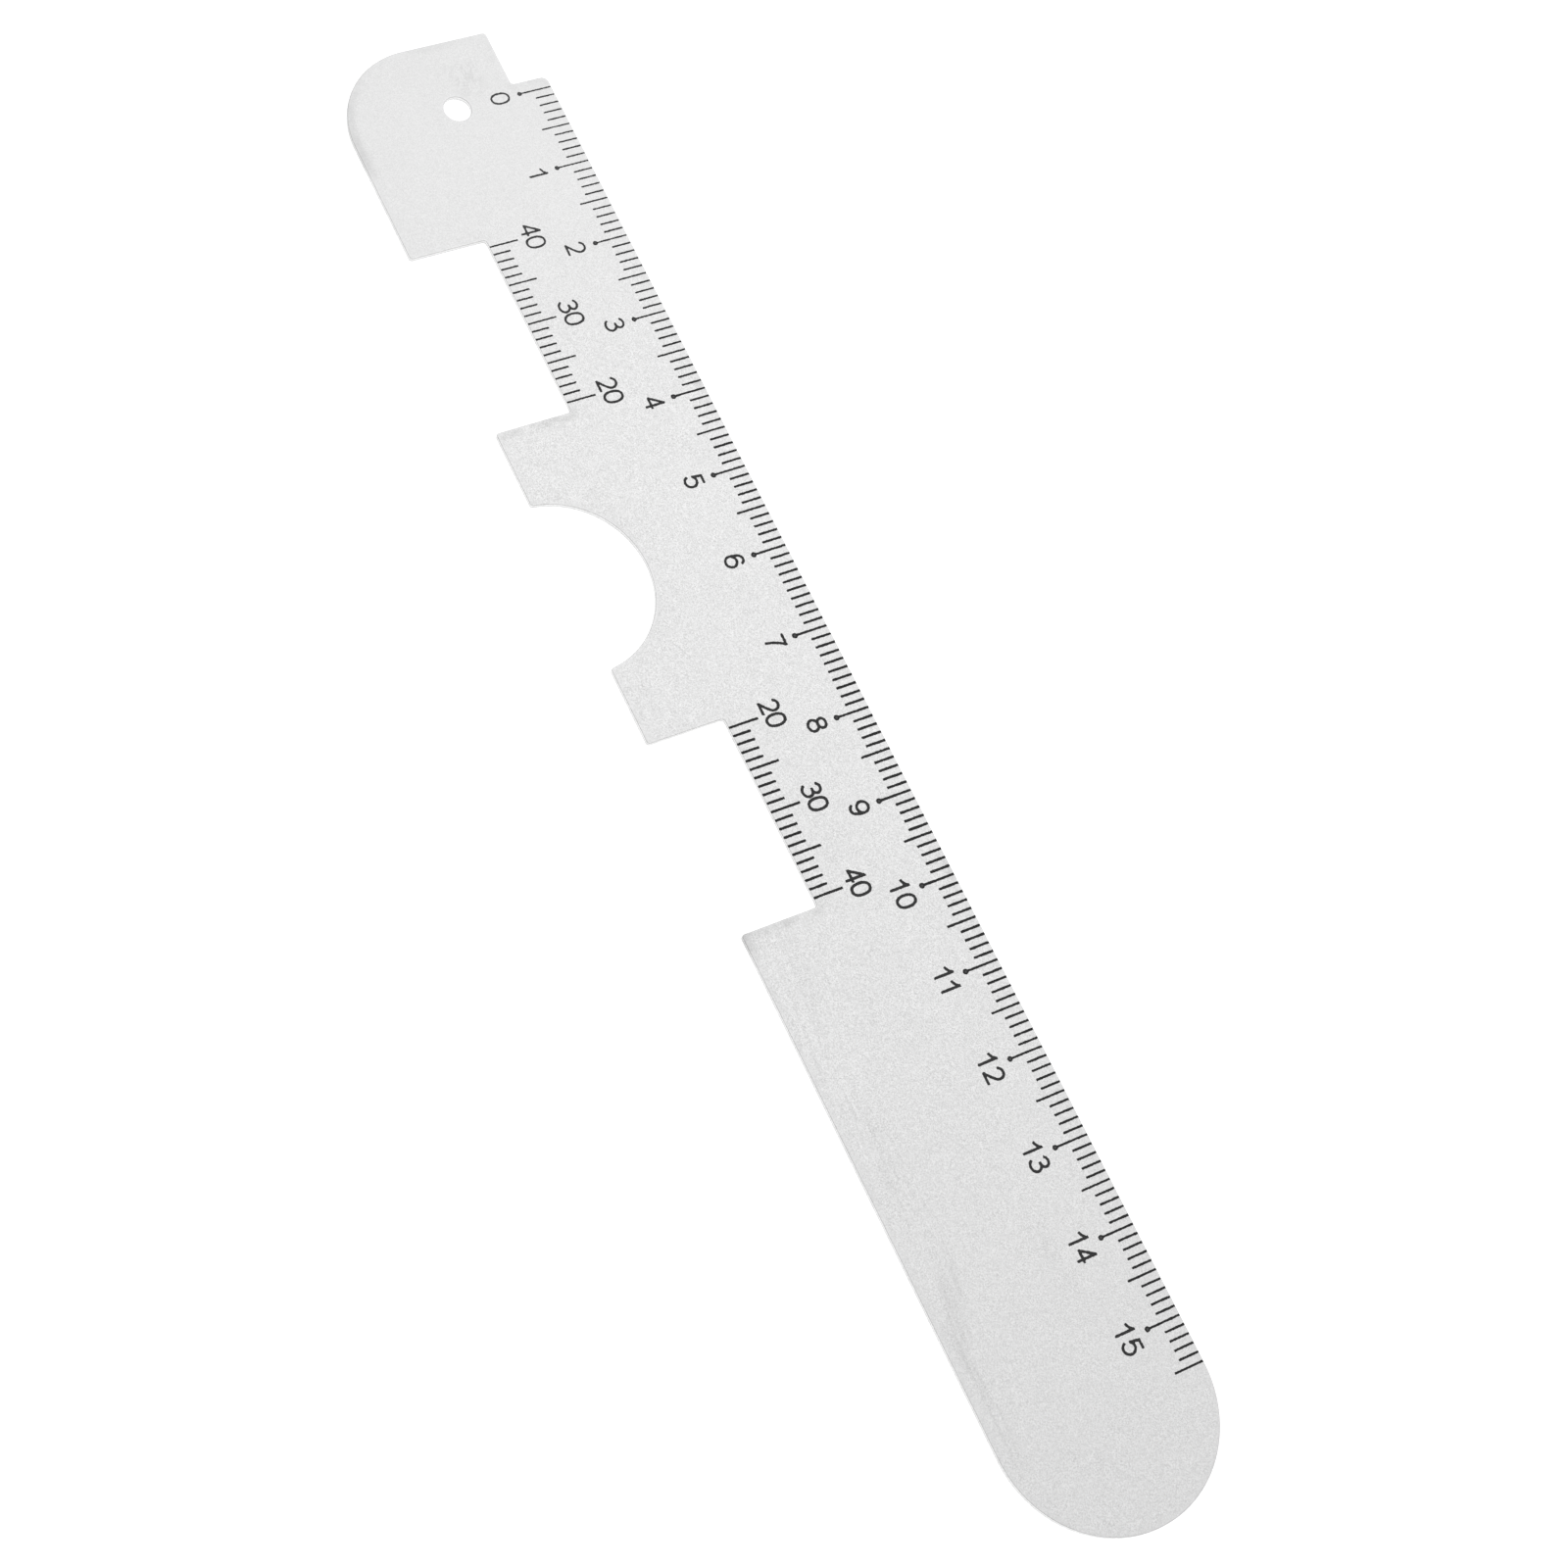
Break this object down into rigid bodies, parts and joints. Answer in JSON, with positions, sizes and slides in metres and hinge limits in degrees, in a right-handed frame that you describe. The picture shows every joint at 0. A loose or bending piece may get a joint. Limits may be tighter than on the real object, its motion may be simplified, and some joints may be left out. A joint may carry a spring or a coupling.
{
  "type": "pupillary distance ruler",
  "caption": "Thin metal rule with a centimetre scale on one edge and a nose notch between two scaled windows on the other, for measuring the distance between a person's pupils.",
  "frame": {"origin": "middle of the plate's underside (bounding box bottom centre)", "axes": "+X along the ruler from the zero end to the round end, +Y towards the edge with the centimetre scale, +Z out of the marked face"},
  "size_m": [0.176, 0.0244, 0.0005],
  "materials": {
    "plate": "satin, finely blasted",
    "print": "matt black print"
  },
  "bodies": {
    "root": {"plate": "plate", "edge_millimetre_marks": "print", "edge_half_centimetre_marks": "print", "edge_centimetre_marks": "print", "edge_numerals": "print", "left_window_short_marks": "print", "left_window_long_marks": "print", "left_window_numerals": "print", "right_window_short_marks": "print", "right_window_long_marks": "print", "right_window_numerals": "print"}
  },
  "joints": []
}
